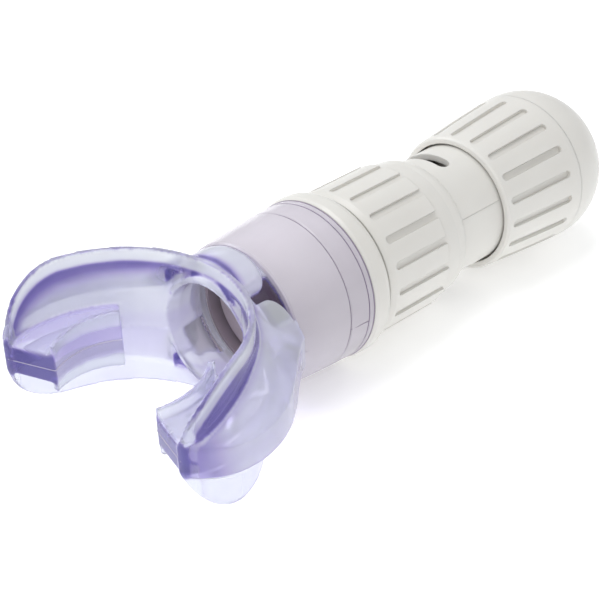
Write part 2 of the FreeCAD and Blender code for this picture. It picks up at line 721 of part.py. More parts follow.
def barrel():
    body = new_body("barrel")
    ringed(body, "barrel_x", "barrel_end_x", "barrel_bore_r", "barrel_r")
    for x, width, floor in (("ring_seal_x", "seal_groove_width", "seal_groove_floor"),
                            ("knob_seal_x", "seal_groove_width", "seal_groove_floor"),
                            ("ring_clip_x", "clip_width", "clip_floor"),
                            ("knob_clip_x", "clip_width", "clip_floor")):
        ringed(body, x, x + " + " + width, floor, "barrel_r + 1", "Groove")
    half = "lug_r + lug_slot_gap"
    middle = "carrier_x + carrier_thick / 2"
    ends = [middle + " - carrier_travel", middle]
    slot = draw(body, "XY_Plane", [
        (ends[0], "0 - (%s)" % half), (ends[1], "0 - (%s)" % half),
        ("via", ends[1] + " + " + half, "0"), (ends[1], half), (ends[0], half),
        ("via", "%s - (%s)" % (ends[0], half), "0")], offset="barrel_bore_r - 4")
    repeat(body, grow(body, "Pocket", slot, Length="8", Reversed=True), 2)

    end_angle = "asin(vent_width / 2 / barrel_r) / 1deg"
    vent = draw(body, "YZ_Plane", sector("barrel_bore_r - 2", "barrel_r + 2",
                "vent_start + " + end_angle, "vent_end - " + end_angle), offset="vent_x")
    repeat(body, grow(body, "Pocket", vent, Length="vent_width", Reversed=True), 2)
    for angle in ("vent_start + " + end_angle, "vent_end - " + end_angle):
        hole = draw(body, "XY_Plane", circle("vent_x + vent_width / 2", "0", "vent_width / 2"),
                    offset="0", turn=(Vector(1, 0, 0), "(%s) - 90" % angle))
        cut = grow(body, "Pocket", hole, Length="barrel_r + 2", Reversed=True)
        repeat(body, cut, 2)
    return body


# Ribbed control ring, with the two cam grooves in its bore that drive the carrier's lugs.

def rib_gaps(body, x0, x1, floor, slope=None):
    """The round-ended grooves between the grip's pads, cut from outside and repeated round the axis."""
    half = "rib_gap_width / 2"
    gap = draw(body, "XY_Plane", [
        (x0, "0 - " + half), (x1, "0 - " + half), ("via", "%s + %s" % (x1, half), "0"),
        (x1, half), (x0, half), ("via", "%s - %s" % (x0, half), "0")],
        offset=floor, turn=(Vector(0, 1, 0), slope) if slope else None, pivot=x0)
    cut = grow(body, "Pocket", gap, Length="6", Reversed=True)
    repeat(body, cut, "rib_count")


def set_grip(body):
    """Turn a grip about the trainer's axis until a pad, not a groove, is on top."""
    body.Placement = Placement(Vector(), Rotation(Vector(-1, 0, 0), value("rib_phase")))
    body.setExpression("Placement.Rotation.Angle", cell("rib_phase"))


def exhale_control_ring():
    body = new_body("exhale_control_ring")
    bore = "barrel_r + running_gap"
    turned(body, [
        ("ring_x", bore), ("ring_end_x", bore), ("ring_end_x", "ring_tail_r"),
        ("via", "(ring_waist_x + ring_end_x) / 2 + 0.9", "(ring_waist_r + ring_tail_r) / 2 + 0.3"),
        ("ring_waist_x", "ring_waist_r"), ("via", "(ring_shoulder_x + ring_waist_x) / 2",
         "(ring_base_r + ring_waist_r) / 2 + 0.12"), ("ring_shoulder_x + 0.3", "ring_base_r"),
        ("ring_shoulder_x", "ring_r"), ("ring_bevel_x", "ring_r"), ("ring_x", "ring_front_r"),
        ("ring_x", "ring_front_r - 0.6")])
    ringed(body, "ring_clip_x - 0.15", "ring_clip_x + clip_width + 0.15", "barrel_r - 1",
           "ring_clip_reach + 0.1", "Groove")
    rib_gaps(body, "ring_rib_start_x + rib_gap_width / 2", "ring_shoulder_x + 0.3", "ring_base_r")
    middle = "carrier_x + carrier_thick / 2"
    lead = "6"
    half = "(lug_r + cam_slack)"
    shift = "carrier_travel * %s / cam_turn" % lead
    cam = draw(body, "XZ_Plane", [
        ("%s + %s - %s" % (middle, shift, half), "barrel_r - 0.5"),
        ("%s + %s + %s" % (middle, shift, half), "barrel_r - 0.5"),
        ("%s + %s + %s" % (middle, shift, half), bore + " + cam_depth"),
        ("%s + %s - %s" % (middle, shift, half), bore + " + cam_depth")],
        turn=(Vector(1, 0, 0), lead + " + rib_phase"))
    groove = grow(body, "SubtractiveHelix", cam, ReferenceAxis=(cam, ["H_Axis"]),
                  Mode="pitch-height-angle", Pitch="carrier_travel * 360 / cam_turn",
                  Height="carrier_travel * (cam_turn + 2 * %s) / cam_turn" % lead, Reversed=True)
    repeat(body, groove, 2)
    set_grip(body)
    return body


# End knob: a ribbed skirt on the barrel, closed by a domed cap that carries the drive sleeve.

def end_knob():
    body = new_body("end_knob")
    bore = "barrel_r + running_gap"
    turned(body, [
        ("knob_x", "knob_mouth_r"), ("knob_mouth_end_x", "knob_mouth_r"),
        ("knob_mouth_end_x", bore), ("knob_socket_x", bore), ("knob_socket_x", "knob_socket_r"),
        ("knob_joint_x", "knob_socket_r"), ("knob_joint_x", "knob_r"),
        ("via", "knob_mid_x", "knob_mid_r"), ("knob_x + 0.6", "knob_front_r"),
        ("knob_x", "knob_front_r - 0.6")])
    ringed(body, "knob_clip_x - 0.15", "knob_clip_x + clip_width + 0.15", "barrel_r - 1",
           "knob_clip_reach + 0.1", "Groove")
    slope = "atan((knob_r - knob_front_r) / (knob_joint_x - knob_x)) / 1deg"
    rib_gaps(body, "knob_rib_start_x + rib_gap_width / 2", "knob_rib_end_x - rib_gap_width / 2",
             "knob_front_r + 0.3 - rib_gap_depth", "0 - " + slope)
    set_grip(body)
    return body


def end_knob_cap():
    body = new_body("end_knob_cap")
    joint = "knob_joint_x + face_gap"
    spigot_r = "knob_socket_r - running_gap"
    wall = "cap_spigot_wall"
    head = "bulkhead_thick"
    nose_x = "(total_length - dome_nose_r)"
    rise = "(knob_r - dome_shoulder_r)"
    shoulder_x = "(%s + sqrt((dome_nose_r - dome_shoulder_r) ^ 2 - %s ^ 2))" % (nose_x, rise)
    swing = "atan((%s - %s) / %s)" % (shoulder_x, nose_x, rise)

    def dome(inset, start):
        """The dome's profile from its joint to the axis: a straight rim, a shoulder and the nose."""
        side_r, nose_r = "(dome_shoulder_r - (%s))" % inset, "(dome_nose_r - (%s))" % inset
        top = "knob_r - (%s)" % inset
        bend = ("via", "%s + %s * sin(%s / 2)" % (shoulder_x, side_r, swing),
                "%s + %s * cos(%s / 2)" % (rise, side_r, swing))
        meet = ("%s + %s * sin(%s)" % (nose_x, nose_r, swing), "%s * cos(%s)" % (nose_r, swing))
        nose = ("via", "%s + %s * sin((90deg + %s) / 2)" % (nose_x, nose_r, swing),
                "%s * cos((90deg + %s) / 2)" % (nose_r, swing))
        return [(start, top), (shoulder_x, top), bend, meet, nose,
                ("total_length - (%s)" % inset, "0")]

    turned(body, [
        (joint + " - 1.5", "bulkhead_hole_r"), (joint + " - 1.5 + " + head, "bulkhead_hole_r")]
        + dome("dome_wall", joint + " - 1.5 + " + head) + dome("0", joint)[::-1] + [
        (joint, spigot_r), ("knob_socket_x + 1.5", spigot_r),
        ("knob_socket_x + 1.5", "%s - %s" % (spigot_r, wall)),
        (joint + " - 1.5", "%s - %s" % (spigot_r, wall)), (joint + " - 1.5", "sleeve_r"),
        ("sleeve_x", "sleeve_r"), ("sleeve_x", "sleeve_bore_r"), (joint + " - 1.5", "sleeve_bore_r")])
    slot = draw(body, "XZ_Plane", [("sleeve_x - 1", "sleeve_bore_r - 2"),
                ("stem_end_x", "sleeve_bore_r - 2"), ("stem_end_x", "sleeve_r + 1"),
                ("sleeve_x - 1", "sleeve_r + 1")])
    cut = grow(body, "Pocket", slot, Length="sleeve_slot", SideType="Symmetric")
    repeat(body, cut, 2)
    return body


def clip(label, x, reach):
    """An open retaining ring that sits in the barrel's groove."""
    body = new_body(label)
    ringed(body, x + " + face_gap", x + " + clip_width - face_gap", "clip_floor + face_gap", reach)
    gap = draw(body, "YZ_Plane", [("0 - 3", "0 - knob_r"), ("3", "0 - knob_r"), ("3", "0 - 8"),
               ("0 - 3", "0 - 8")], offset=x + " - 1")
    grow(body, "Pocket", gap, Length="clip_width + 2", Reversed=True)
    return body


mouthpiece()
o_ring("neck_seal", "neck_seal_x", "neck_seal_width", "neck_seal_floor", "housing_socket_r")
front_housing()
o_ring("housing_seal", "housing_seal_x", "housing_seal_width", "housing_seal_floor",
       "housing_socket_r")
valve_body()
valve_seat()
guide_tube()
stem_guide()
inhale_valve_disc()
inhale_valve_seal()
inhale_stem()
inhale_spring_cap()
inhale_adjusting_nut()
exhale_valve_seal()
exhale_valve_plate()
exhale_spring_carrier()
barrel()
exhale_control_ring()
clip("control_ring_clip", "ring_clip_x", "ring_clip_reach")
o_ring("control_ring_seal", "ring_seal_x", "seal_groove_width", "seal_groove_floor",
       "barrel_r + running_gap")
end_knob()
end_knob_cap()
clip("end_knob_clip", "knob_clip_x", "knob_clip_reach")
o_ring("end_knob_seal", "knob_seal_x", "seal_groove_width", "seal_groove_floor",
       "barrel_r + running_gap")
spring("inhale_spring", "guide_end_x + face_gap + stem_guide_thick + face_gap",
       "inhale_cap_x - face_gap", "inhale_spring_r", "inhale_wire", "inhale_turns")
spring("exhale_spring",
       "seat_x + seat_thick + face_gap + exhale_seal_thick + exhale_plate_thick + face_gap + 0.02",
       "carrier_x - face_gap", "exhale_spring_r", "exhale_wire", "exhale_turns")


def finish():
    """Check every object, then write one file for each sub-part."""
    doc.recompute()
    for item in doc.Objects:
        if "Invalid" in item.State or "Error" in item.State:
            raise RuntimeError("%s: %s" % (item.Label, item.State))
    os.makedirs("parts", exist_ok=True)
    for node in nodes:
        shape = node.Shape
        if shape.isNull() or not shape.isValid() or not shape.Solids:
            raise RuntimeError("%s has no sound shape" % node.Label)
        shape.exportStep(os.path.join("parts", node.Label + ".step"))
        print("%-24s solids %d volume %.0f faces %d box %s" % (node.Label, len(shape.Solids),
              shape.Volume, len(shape.Faces), [round(v, 1) for v in (
                  shape.BoundBox.XMin, shape.BoundBox.XMax, shape.BoundBox.YMin,
                  shape.BoundBox.YMax, shape.BoundBox.ZMin, shape.BoundBox.ZMax)]))


finish()
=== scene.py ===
"""Looks of the breathing trainer: clear violet mouthpiece, milky sleeve, white moulded body."""
import json
import math

import bmesh
import bpy
import numpy as np
from mathutils import Matrix, Vector
from mathutils.bvhtree import BVHTree


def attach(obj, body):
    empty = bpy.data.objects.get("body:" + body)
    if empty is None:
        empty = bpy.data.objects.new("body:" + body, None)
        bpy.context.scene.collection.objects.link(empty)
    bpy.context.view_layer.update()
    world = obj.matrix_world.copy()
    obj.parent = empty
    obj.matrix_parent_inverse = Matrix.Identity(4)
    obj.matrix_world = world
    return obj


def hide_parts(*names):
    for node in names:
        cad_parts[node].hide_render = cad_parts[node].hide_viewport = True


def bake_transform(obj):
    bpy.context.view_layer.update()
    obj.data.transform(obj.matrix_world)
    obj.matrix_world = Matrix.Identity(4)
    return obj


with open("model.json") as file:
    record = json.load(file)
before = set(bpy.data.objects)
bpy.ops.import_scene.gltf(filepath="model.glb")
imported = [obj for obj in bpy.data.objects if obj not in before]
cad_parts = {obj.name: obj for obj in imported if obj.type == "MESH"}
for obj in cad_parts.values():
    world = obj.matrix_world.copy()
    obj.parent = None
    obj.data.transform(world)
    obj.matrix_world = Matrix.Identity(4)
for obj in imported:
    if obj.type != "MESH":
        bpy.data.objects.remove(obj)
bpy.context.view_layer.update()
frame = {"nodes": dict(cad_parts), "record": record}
nodes = frame["nodes"]
scene = bpy.context.scene

MM = 0.001
AXIS_HEIGHT = 22.5
HALF_LENGTH = 92.1

# The camera, placed by fitting a perspective view to the outlines in the photograph.

CAMERA_PLACE = (-0.33595, -0.30213, 0.28370)
CAMERA_RIGHT = Vector((0.69172, -0.72216, 0.0))
CAMERA_UP = Vector((0.37491, 0.35912, 0.85468))
CAMERA_BACK = Vector((-0.61722, -0.59119, 0.51916))
FOCAL_PIXELS = 1970.1
IMAGE_PIXELS = 600
SENSOR_MM = 36.0


def place_camera():
    data = bpy.data.cameras.new("photo_camera")
    data.sensor_fit = "HORIZONTAL"
    data.sensor_width = SENSOR_MM
    data.lens = SENSOR_MM * FOCAL_PIXELS / IMAGE_PIXELS
    data.clip_start = 0.01
    data.clip_end = 20.0
    camera = bpy.data.objects.new("photo_camera", data)
    turn = Matrix((CAMERA_RIGHT, CAMERA_UP, CAMERA_BACK)).transposed().to_4x4()
    camera.matrix_world = Matrix.Translation(CAMERA_PLACE) @ turn
    scene.collection.objects.link(camera)
    scene.camera = camera


# Node helpers for the materials.

class Maker:
    """A material's node tree, with short ways to add and join nodes."""

    def __init__(self, name):
        self.material = bpy.data.materials.new(name)
        self.material.use_nodes = True
        self.tree = self.material.node_tree
        self.tree.nodes.clear()
        self.output = self.add("ShaderNodeOutputMaterial")
        self.shader = self.add("ShaderNodeBsdfPrincipled")
        self.join(self.shader, "BSDF", self.output, "Surface")
        self.place = self.add("ShaderNodeTexCoord")

    def add(self, kind, **settings):
        node = self.tree.nodes.new(kind)
        for name, setting in settings.items():
            setattr(node, name, setting)
        return node

    def join(self, source, output, target, socket):
        self.tree.links.new(source.outputs[output], target.inputs[socket])

    def noise(self, scale, detail=4.0, roughness=0.55, stretch=None):
        texture = self.add("ShaderNodeTexNoise")
        texture.inputs["Scale"].default_value = scale
        texture.inputs["Detail"].default_value = detail
        texture.inputs["Roughness"].default_value = roughness
        if stretch:
            mapping = self.add("ShaderNodeMapping")
            mapping.inputs["Scale"].default_value = stretch
            self.join(self.place, "Object", mapping, "Vector")
            self.join(mapping, "Vector", texture, "Vector")
        else:
            self.join(self.place, "Object", texture, "Vector")
        return texture

    def ramp(self, source, output, low, high, from_low=0.35, from_high=0.65):
        ramp = self.add("ShaderNodeValToRGB")
        ramp.color_ramp.elements[0].position = from_low
        ramp.color_ramp.elements[0].color = (*low, 1.0)
        ramp.color_ramp.elements[1].position = from_high
        ramp.color_ramp.elements[1].color = (*high, 1.0)
        self.join(source, output, ramp, "Fac")
        return ramp

    def spread(self, source, output, low, high, from_low=0.3, from_high=0.7):
        span = self.add("ShaderNodeMapRange")
        span.inputs["From Min"].default_value = from_low
        span.inputs["From Max"].default_value = from_high
        span.inputs["To Min"].default_value = low
        span.inputs["To Max"].default_value = high
        self.join(source, output, span, "Value")
        return span

    def plus(self, source, output, more, more_output):
        total = self.add("ShaderNodeMath", operation="ADD")
        self.join(source, output, total, "Value")
        self.tree.links.new(more.outputs[more_output], total.inputs[1])
        return total

    def bump(self, source, output, strength, distance, below=None):
        bump = self.add("ShaderNodeBump")
        bump.inputs["Strength"].default_value = strength
        bump.inputs["Distance"].default_value = distance
        self.join(source, output, bump, "Height")
        if below:
            self.join(below, "Normal", bump, "Normal")
        return bump


EDGE_STEPS = 4
# Painted shade: the grey-brown that stands in for the shade inside the valve body's white bore.
BORE_SHADE = (0.36, 0.30, 0.33, 1.0)


def moulded(name, low, high, roughness, bore=None):
    """Opaque moulded plastic: faint flow marks in the colour, a fine skin and a slight waviness.
    With bore, a radius, the inside up to that radius is painted grey-brown as painted shade."""
    maker = Maker(name)
    shader = maker.shader
    flow = maker.noise(38.0, detail=3.0, stretch=(0.45, 1.0, 1.0))
    colour = maker.ramp(flow, "Fac", low, high)
    if bore:
        # Painted shade inside the bore, within the given radius of the axis.
        across = maker.add("ShaderNodeMapping")
        across.inputs["Location"].default_value = (0.0, 0.0, -AXIS_HEIGHT * MM)
        across.inputs["Scale"].default_value = (0.0, 1.0, 1.0)
        maker.join(maker.place, "Object", across, "Vector")
        length = maker.add("ShaderNodeVectorMath", operation="LENGTH")
        maker.join(across, "Vector", length, "Vector")
        inside = maker.spread(length, "Value", 1.0, 0.0, (bore - 0.15) * MM, (bore + 0.15) * MM)
        bore_shade_mix = maker.add("ShaderNodeMix", data_type="RGBA")
        bore_shade_mix.inputs["B"].default_value = BORE_SHADE
        maker.join(inside, "Result", bore_shade_mix, "Factor")
        maker.tree.links.new(colour.outputs["Color"], bore_shade_mix.inputs["A"])
        maker.tree.links.new(bore_shade_mix.outputs["Result"], shader.inputs["Base Color"])
    else:
        maker.join(colour, "Color", shader, "Base Color")
    patches = maker.noise(210.0, detail=5.0)
    maker.join(maker.spread(patches, "Fac", roughness - 0.06, roughness + 0.07), "Result",
               shader, "Roughness")
    skin = maker.noise(2600.0, detail=2.0)
    wave = maker.noise(120.0, detail=1.0)
    edges = maker.add("ShaderNodeBevel", samples=EDGE_STEPS)
    edges.inputs["Radius"].default_value = 0.4 * MM
    coarse = maker.bump(wave, "Fac", 0.25, 0.06 * MM, edges)
    maker.join(maker.bump(skin, "Fac", 0.35, 0.02 * MM, coarse), "Normal", shader, "Normal")
    shader.inputs["IOR"].default_value = 1.46
    shader.inputs["Specular IOR Level"].default_value = 0.5
    shader.inputs["Subsurface Weight"].default_value = 0.12
    shader.inputs["Subsurface Radius"].default_value = (0.0030, 0.0027, 0.0024)
    shader.inputs["Subsurface Scale"].default_value = 1.0
    shader.inputs["Coat Weight"].default_value = 0.12
    shader.inputs["Coat Roughness"].default_value = 0.18
    return maker.material


def let_lamps_through(maker, tint, density):
    """Rays on their way to a lamp pass straight through a clear piece, so what lies behind stays
    lit. Its volume takes a little light, by its depth."""
    path = maker.add("ShaderNodeLightPath")
    through = maker.add("ShaderNodeBsdfTransparent")
    through.inputs["Color"].default_value = (0.97, 0.96, 0.99, 1.0)
    choice = maker.add("ShaderNodeMixShader")
    maker.join(path, "Is Shadow Ray", choice, "Fac")
    maker.tree.links.new(maker.shader.outputs["BSDF"], choice.inputs[1])
    maker.tree.links.new(through.outputs["BSDF"], choice.inputs[2])
    maker.join(choice, "Shader", maker.output, "Surface")
    depth = maker.add("ShaderNodeVolumeAbsorption")
    depth.inputs["Color"].default_value = (*tint, 1.0)
    depth.inputs["Density"].default_value = density
    maker.join(depth, "Volume", maker.output, "Volume")


# Clear violet by how many millimetres of plastic lie behind the surface: the ends of the ramp, as
# shares of its full span with their colours, and the stops between them. The full span is the
# depth given to the floors of the trunk's recesses, and its near-black end colour is painted
# shade.

PAINTED_SHADE_DEPTH = 40.0
THIN = (0.08, (0.86, 0.885, 0.92))
RECESS_PAINTED_SHADE = (0.97, (0.055, 0.035, 0.06))
VIOLETS = ((0.18, (0.77, 0.77, 0.87)), (0.34, (0.55, 0.50, 0.75)), (0.50, (0.27, 0.22, 0.54)),
           (0.68, (0.115, 0.09, 0.35)), (0.80, (0.10, 0.085, 0.34)))


def clear_violet(name):
    """Clear violet moulding: almost colourless where it is thin, deep violet where a long way
    through it lies behind the surface, as along a rim or the end of the bite slab. The floors of
    the trunk's recesses are painted near black as painted shade. The petals' turned-away sides and
    the wings' undersides are darkened as painted shade."""
    maker = Maker(name)
    shader = maker.shader
    shader.inputs["IOR"].default_value = 1.4
    haze = maker.add("ShaderNodeAttribute", attribute_name="haze")
    maker.join(maker.spread(haze, "Fac", 0.78, 0.42, 0.0, 1.0), "Result", shader,
               "Transmission Weight")
    depth = maker.add("ShaderNodeAttribute", attribute_name="depth")
    flow = maker.noise(70.0, detail=3.0, stretch=(0.6, 1.0, 1.0))
    cloud = maker.spread(flow, "Fac", -1.6, 1.6)
    total = maker.plus(depth, "Fac", cloud, "Result")
    graze = maker.add("ShaderNodeLayerWeight")
    graze.inputs["Blend"].default_value = 0.3
    longer = maker.spread(graze, "Facing", 0.0, 15.0, 0.6, 0.98)
    length = maker.plus(total, "Value", longer, "Result")
    span = maker.spread(length, "Value", 0.0, 1.0, 0.0, PAINTED_SHADE_DEPTH)
    tints = maker.ramp(span, "Result", THIN[1], RECESS_PAINTED_SHADE[1], THIN[0], RECESS_PAINTED_SHADE[0])
    for position, colour in VIOLETS:
        stop = tints.color_ramp.elements.new(position)
        stop.color = (*colour, 1.0)
    maker.join(tints, "Color", shader, "Base Color")
    patches = maker.noise(160.0, detail=4.0)
    maker.join(maker.spread(patches, "Fac", 0.07, 0.16), "Result", shader, "Roughness")
    wave = maker.noise(85.0, detail=2.0)
    maker.join(maker.bump(wave, "Fac", 0.25, 0.1 * MM), "Normal", shader, "Normal")
    let_lamps_through(maker, (0.42, 0.36, 0.80), 14.0)
    return maker.material


def clear_milky(name):
    """Clear housing over a white spigot: mostly the milky white behind it, under a smooth skin."""
    maker = Maker(name)
    shader = maker.shader
    shader.inputs["Transmission Weight"].default_value = 0.35
    shader.inputs["IOR"].default_value = 1.46
    flow = maker.noise(46.0, detail=3.0, stretch=(0.5, 1.0, 1.0))
    maker.join(maker.ramp(flow, "Fac", (0.72, 0.675, 0.735), (0.78, 0.745, 0.80)), "Color",
               shader, "Base Color")
    patches = maker.noise(120.0, detail=3.0)
    maker.join(maker.spread(patches, "Fac", 0.16, 0.26), "Result", shader, "Roughness")
    edges = maker.add("ShaderNodeBevel", samples=EDGE_STEPS)
    edges.inputs["Radius"].default_value = 0.3 * MM
    wave = maker.noise(60.0, detail=1.0)
    maker.join(maker.bump(wave, "Fac", 0.15, 0.05 * MM, edges), "Normal", shader, "Normal")
    let_lamps_through(maker, (0.62, 0.52, 0.74), 10.0)
    return maker.material


def wire_steel(name):
    """Bright drawn wire with fine lengthwise marks."""
    maker = Maker(name)
    shader = maker.shader
    shader.inputs["Metallic"].default_value = 1.0
    marks = maker.noise(900.0, detail=3.0, stretch=(1.0, 0.2, 0.2))
    maker.join(maker.ramp(marks, "Fac", (0.52, 0.53, 0.55), (0.68, 0.69, 0.71)), "Color",
               shader, "Base Color")
    maker.join(maker.spread(marks, "Fac", 0.2, 0.36), "Result", shader, "Roughness")
    maker.join(maker.bump(marks, "Fac", 0.3, 0.02 * MM), "Normal", shader, "Normal")
    return maker.material


def soft_rubber(name, low, high):
    """Soft silicone: dull, slightly milky, with a powdery skin."""
    maker = Maker(name)
    shader = maker.shader
    cloud = maker.noise(150.0, detail=4.0)
    maker.join(maker.ramp(cloud, "Fac", low, high), "Color", shader, "Base Color")
    maker.join(maker.spread(cloud, "Fac", 0.5, 0.68), "Result", shader, "Roughness")
    skin = maker.noise(3200.0, detail=2.0)
    maker.join(maker.bump(skin, "Fac", 0.3, 0.03 * MM), "Normal", shader, "Normal")
    shader.inputs["Subsurface Weight"].default_value = 0.1
    shader.inputs["Subsurface Radius"].default_value = (0.002, 0.0018, 0.0016)
    return maker.material


# The bite part, in its own millimetres: x from the tips of its arms, y to one side and z up from
# its axis. It droops by BITE_PITCH about a point of the trainer's axis. Its trunk starts at
# TRUNK_X. The floor between the trunk's petals spans RECESS_X along it and RECESS_R out from its
# axis.

BITE_PITCH = math.radians(3.6)
PITCH_X = 45.0
SHIELD_CENTRE_X = 8.1
SHIELD_INSIDE_R = 32.6
SHIELD_OUTSIDE_R = 34.6
SHIELD_LIP = 3.3
TRUNK_X = 38.0
BORE_R = 16.0
# The recess floor within these spans is painted near black as painted shade.
RECESS_X = (43.1, 51.3)
RECESS_R = (16.3, 17.2)
SLAB_TIP_Y, SLAB_SLANT = 30.9, 0.344
RAY_REACH = 30.0


def bite_point(x, y, z):
    """A point of the drooping bite part, from its own millimetres to the frame's metres."""
    run, rise = x - PITCH_X, z
    along = run * math.cos(BITE_PITCH) - rise * math.sin(BITE_PITCH)
    up = run * math.sin(BITE_PITCH) + rise * math.cos(BITE_PITCH)
    return Vector((PITCH_X - HALF_LENGTH + along, y, AXIS_HEIGHT + up)) * MM


def axis_point(x, radius, angle):
    """A point at an angle round the trainer's axis, from +Y to the top, in the frame's metres."""
    turn = math.radians(angle)
    return Vector((x - HALF_LENGTH, radius * math.cos(turn),
                   AXIS_HEIGHT + radius * math.sin(turn))) * MM


def bite_own(place):
    """The bite part's own millimetres for a point of the frame."""
    run = place.x / MM - PITCH_X + HALF_LENGTH
    rise = place.z / MM - AXIS_HEIGHT
    return (PITCH_X + run * math.cos(BITE_PITCH) + rise * math.sin(BITE_PITCH), place.y / MM,
            rise * math.cos(BITE_PITCH) - run * math.sin(BITE_PITCH))


def swell(value, middle, width, power=2):
    """One at the middle, falling to nothing some widths away."""
    return math.exp(-abs((value - middle) / width) ** power)


def inner_wall(y, z, radius, above):
    """The shield's inside: light along its lip, then a violet band that fades downwards, a violet
    ring round the breathing hole and a clear window on the recess at its upper left."""
    below = above - SHIELD_LIP
    start = min(max(below / 0.7 + 0.5, 0.0), 1.0) if z > 1.5 else 0.0
    band = start * swell(max(below, 0.0), 0.0, 1.6 + 0.11 * abs(y))
    ring = swell(radius, 15.6, 1.4) if z > -6.0 and y < 6.0 else 0.0
    window = swell(radius, 18.5, 3.2, 4) * swell(math.degrees(math.atan2(z, y)), 47.0, 17.0, 4)
    return 3.0 + 21.0 * band + 15.0 * ring, (1.0 if z > -3.0 else 0.4) - 0.9 * window


def outer_wall(x, z, above):
    """The shield's outside: light along its lip, violet from there down to the axis, light below
    it, and violet at the tips."""
    low = min(max((above - SHIELD_LIP) / 0.8, 0.0), 1.0) if z > 0.0 else 0.0
    return max(4.0 + 21.0 * low, 19.0 * swell(x, 0.0, 4.0)), 0.6 if z > 0.0 else 0.2


def rim(x, bend):
    """The shield's rim: light, with a violet line along each edge and violet towards its tips."""
    line = min(bend - SHIELD_INSIDE_R, SHIELD_OUTSIDE_R - bend)
    return 5.0 + 22.0 * max(swell(max(line, 0.0), 0.0, 0.55), swell(x, 0.0, 14.0)), 0.3


def wing(x, bend, normal, depth):
    """The wings: light, and violet beside the shield and at the tips, with painted shade darkening
    their undersides.
    """
    edge = 19.0 * swell(bend, SHIELD_OUTSIDE_R, 1.5) * abs(normal.z)
    tip = 13.0 * swell(x, 1.5, 6.0)
    # Painted shade: surfaces that face downwards get a deeper violet.
    under = 13.0 * max(0.0, -normal.z)
    return min(depth, 6.0) + max(edge, tip, under), 0.8


def shown_depth(place, normal, depth, above):
    """The depth that the tint follows and how hazy the surface is, by the place on the bite part.
    Depth is the plastic behind the surface, and above the plastic over it. On the recess floors,
    the petals' turned-away sides and the wings' undersides the depth is raised as painted shade."""
    x, y, z = bite_own(place)
    radius = math.hypot(y, z)
    outward = (normal.y * y + normal.z * z) / max(radius, 0.1)
    # Painted shade: the floors of the recesses between the petals get the deepest, near-black
    # tint.
    if RECESS_X[0] < x < RECESS_X[1] and RECESS_R[0] < radius < RECESS_R[1] and outward > 0.3:
        return PAINTED_SHADE_DEPTH, 0.0
    if x > TRUNK_X and radius < BORE_R and outward < -0.5:
        return min(depth, 5.0), 1.0
    bend = math.hypot(x - SHIELD_CENTRE_X, y)
    across = (normal.x * (x - SHIELD_CENTRE_X) + normal.y * y) / max(bend, 0.1)
    if x > 0.0 and abs(bend - SHIELD_INSIDE_R) < 0.5 and across < -0.6:
        return inner_wall(y, z, radius, above)
    if x > 0.0 and abs(bend - SHIELD_OUTSIDE_R) < 0.7 and across > 0.5 and radius > 21.0:
        return outer_wall(x, z, above)
    if x > 0.0 and SHIELD_INSIDE_R - 0.4 < bend < SHIELD_OUTSIDE_R + 0.5 and abs(normal.z) > 0.6:
        return rim(x, bend)
    if bend > SHIELD_OUTSIDE_R and x > 1.5 and radius > 20.0:
        return wing(x, bend, normal, depth)
    if bend < SHIELD_INSIDE_R and x > SLAB_SLANT * (SLAB_TIP_Y - abs(y)) + 0.6:
        return min(depth, 11.0), 0.2
    # Painted shade: the petals darken where their surface turns away from the axis, along their
    # sides and ends.
    if TRUNK_X < x < 51.2 and radius > 17.4:
        return min(depth, 5.0) + 18.0 * max(0.0, 0.85 - outward), 0.3
    if x > TRUNK_X:
        return min(depth, 6.0), 0.5
    return depth, 0.0


def average_along(edges, values, passes):
    """Each point's value averaged with those of its neighbours, a number of times over."""
    for _ in range(passes):
        total, count = values.copy(), np.ones(len(values))
        for near, other in ((0, 1), (1, 0)):
            np.add.at(total, edges[:, near], values[edges[:, other]])
            np.add.at(count, edges[:, near], 1.0)
        values = total / count
    return values


def store_depth(mesh):
    """Keep at each point the depth that the tint follows and the haze."""
    tree = BVHTree.FromPolygons([v.co for v in mesh.vertices], [p.vertices for p in mesh.polygons])
    up = Vector((-math.sin(BITE_PITCH), 0.0, math.cos(BITE_PITCH)))

    def plastic(point, sink, direction):
        start = point.co - point.normal * sink * MM
        far = tree.ray_cast(start, direction, RAY_REACH * MM)[3]
        return RAY_REACH if far is None else far / MM

    points = mesh.vertices
    depths = np.array([plastic(point, sink=0.05, direction=-point.normal) for point in points])
    above = np.array([plastic(point, sink=0.7, direction=up) for point in points])
    edges = np.array([edge.vertices for edge in mesh.edges])
    depths = average_along(edges, depths, passes=2)
    above = average_along(edges, above, passes=6)
    shown = np.array([shown_depth(point.co, point.normal, depths[index], above[index])
                      for index, point in enumerate(points)])
    depths = average_along(edges, shown[:, 0], passes=1)
    hazes = average_along(edges, shown[:, 1], passes=2)
    for name, values in (("depth", depths), ("haze", hazes)):
        mesh.attributes.new(name, "FLOAT", "POINT").data.foreach_set("value", values)


